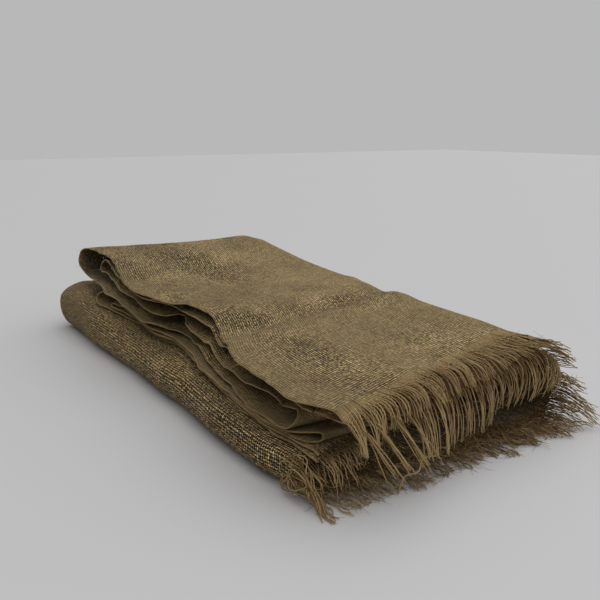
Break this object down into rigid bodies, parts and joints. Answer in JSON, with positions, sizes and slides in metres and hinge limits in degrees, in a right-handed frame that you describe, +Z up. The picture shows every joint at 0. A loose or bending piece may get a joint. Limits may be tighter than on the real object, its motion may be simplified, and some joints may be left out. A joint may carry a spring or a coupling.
{
  "type": "tablecloth",
  "caption": "Folded tablecloth in coarse open plain weave with frayed fringe along both ends, lying flat as a stack of layers with loose folded edges.",
  "frame": {"origin": "on the resting surface, under the middle of the bounding box of the folded stack", "axes": "+Z up; +X along the long side of the folded stack, towards the frayed ends; -Y towards the side where the free woven edges show"},
  "size_m": [0.498, 0.2184, 0.0808],
  "materials": {
    "linen": "matt natural linen, coarse open plain weave",
    "threads": "matt loose linen threads"
  },
  "bodies": {
    "root": {"cloth": "linen", "fringe_upper": "threads", "fringe_lower": "threads"}
  },
  "joints": []
}
